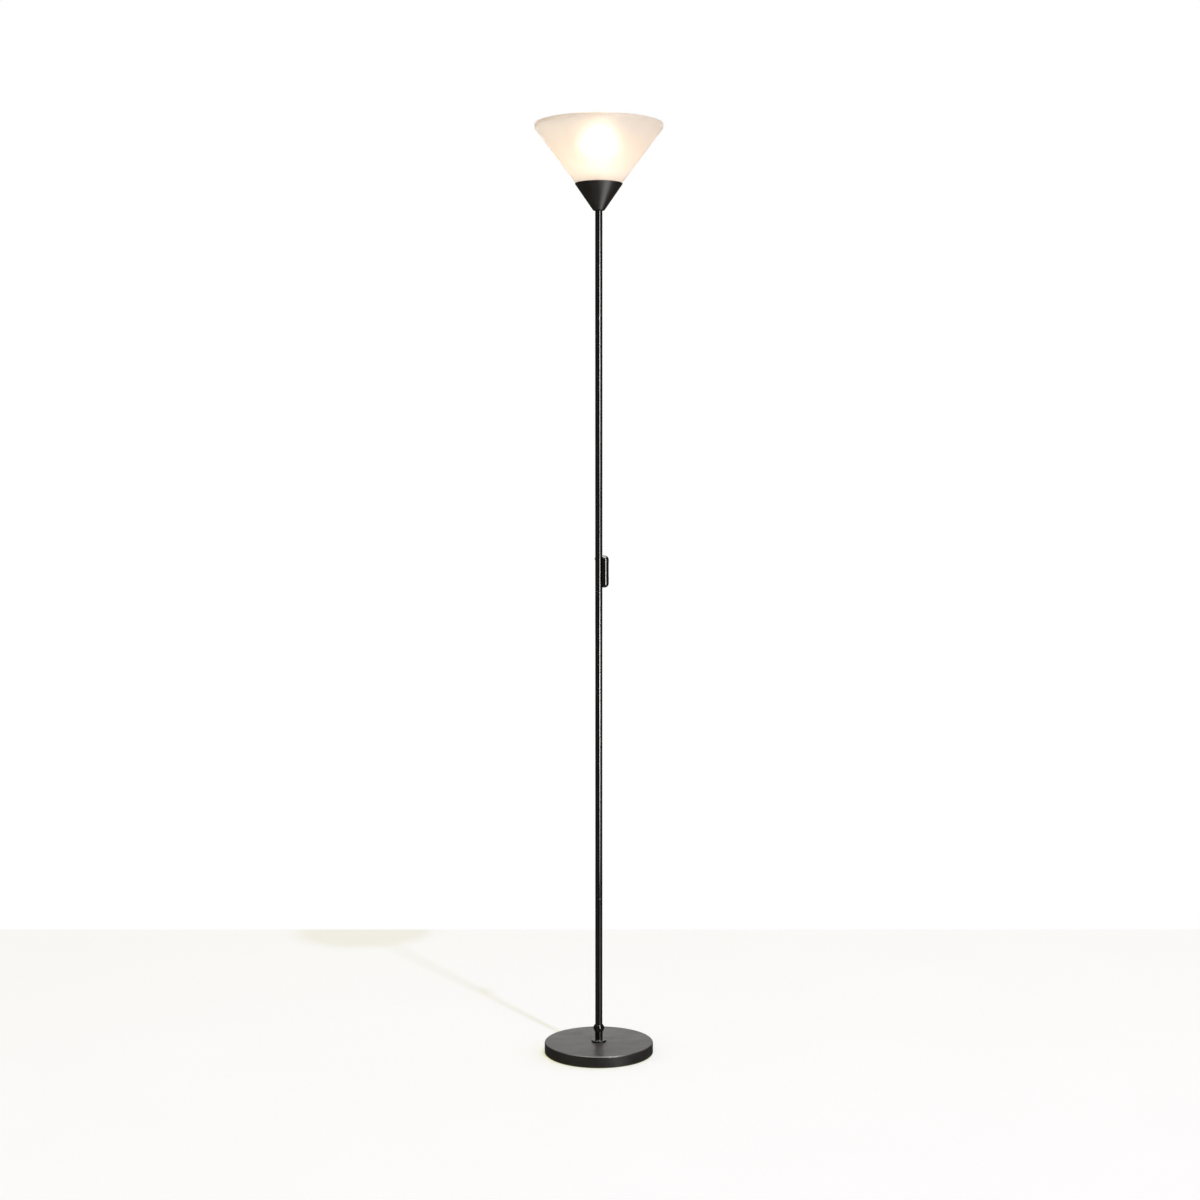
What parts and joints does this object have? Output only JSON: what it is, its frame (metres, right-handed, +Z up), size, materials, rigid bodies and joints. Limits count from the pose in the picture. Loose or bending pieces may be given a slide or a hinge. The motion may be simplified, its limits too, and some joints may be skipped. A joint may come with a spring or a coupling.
{
  "type": "torchiere floor lamp",
  "caption": "Slim black floor uplighter: a round weighted base, a straight screwed tube pole with a rocker switch on its side, and an upward frosted cone shade in a black cup.",
  "frame": {"origin": "on the floor under the pole's axis, at the underside of the base pad", "axes": "+Z up along the pole, -Y towards the front, +X towards the switch, +Y towards the cord gland at the back of the base"},
  "size_m": [0.2464, 0.2464, 1.8],
  "materials": {
    "black_coat": "black powder coat, semi-gloss",
    "gloss_black_coat": "gloss black lacquer on turned metal",
    "satin_black_coat": "satin black coat",
    "textured_black_coat": "fine textured black powder coat",
    "felt_pad": "matt black felt",
    "concrete": "cast cement weight",
    "rubber": "matt black rubber",
    "zinc_steel": "zinc plated",
    "black_steel": "blackened screw",
    "brass": "bare brass",
    "black_plastic": "moulded black plastic",
    "holder_plastic": "moulded off-white thermoplastic",
    "ceramic": "unglazed steatite",
    "cable_sheath": "black cable sheath",
    "frosted_shade": "frosted translucent white plastic, lit from inside",
    "opal_globe": "opal diffuser, lit",
    "white_plastic": "moulded white plastic",
    "aluminium": "plain aluminium",
    "circuit_board": "green circuit board",
    "vitrite": "black glass insulator"
  },
  "bodies": {
    "lamp": {"base_pad": "felt_pad", "base_weight": "concrete", "base_cover": "textured_black_coat", "cord_gland": "rubber", "base_nipple": "zinc_steel", "base_washer": "zinc_steel", "base_nut": "zinc_steel", "collar_sleeve": "gloss_black_coat", "collar_ring": "gloss_black_coat", "pole_foot_insert": "zinc_steel", "pole_section_1": "black_coat", "pole_section_2": "black_coat", "pole_section_3": "black_coat", "pole_section_4": "black_coat", "pole_coupler_1": "zinc_steel", "pole_coupler_2": "zinc_steel", "pole_coupler_3": "zinc_steel", "pole_top_insert": "zinc_steel", "lead_lower": "cable_sheath", "lead_upper": "cable_sheath", "switch_base": "black_plastic", "switch_cover": "black_plastic", "terminal_in": "brass", "terminal_out": "brass", "terminal_screw_1": "zinc_steel", "terminal_screw_2": "zinc_steel", "switch_case_screw_1": "zinc_steel", "switch_case_screw_2": "zinc_steel", "switch_fixing_screw": "black_steel", "head_nipple": "zinc_steel", "head_nut": "zinc_steel", "shade_cup": "satin_black_coat", "lampholder_cap": "holder_plastic", "lampholder_core": "ceramic", "lampholder_skirt": "holder_plastic", "screw_shell": "brass", "centre_contact": "brass", "holder_screw_1": "zinc_steel", "holder_screw_2": "zinc_steel", "shade_ring": "holder_plastic", "shade": "frosted_shade"},
    "rocker": {"switch_rocker": "black_plastic", "rocker_plunger": "zinc_steel", "rocker_spring": "zinc_steel"},
    "contact": {"contact_lever": "brass"},
    "bulb": {"bulb_globe": "opal_globe", "bulb_housing": "white_plastic", "bulb_led_board": "aluminium", "bulb_driver_board": "circuit_board", "bulb_cap": "aluminium", "bulb_insulator": "vitrite", "bulb_tip": "zinc_steel"}
  },
  "joints": [
    {"name": "rocker_tilt", "type": "hinge", "parent": "lamp", "child": "rocker", "pos_m": [0.0152, 0, 0.9453], "axis": [0, 1, 0], "range_deg": [0, 10]},
    {"name": "contact_flip", "type": "hinge", "parent": "lamp", "child": "contact", "pos_m": [0.0117, 0, 0.9453], "axis": [0, 1, 0], "range_deg": [-12, 0]},
    {"name": "bulb_unscrew", "type": "slide", "parent": "lamp", "child": "bulb", "axis": [0, 0, 1], "range_m": [0, 0.045]}
  ],
  "couplings": [
    {"joint": "contact_flip", "follows": "rocker_tilt", "ratio": -1.2}
  ]
}
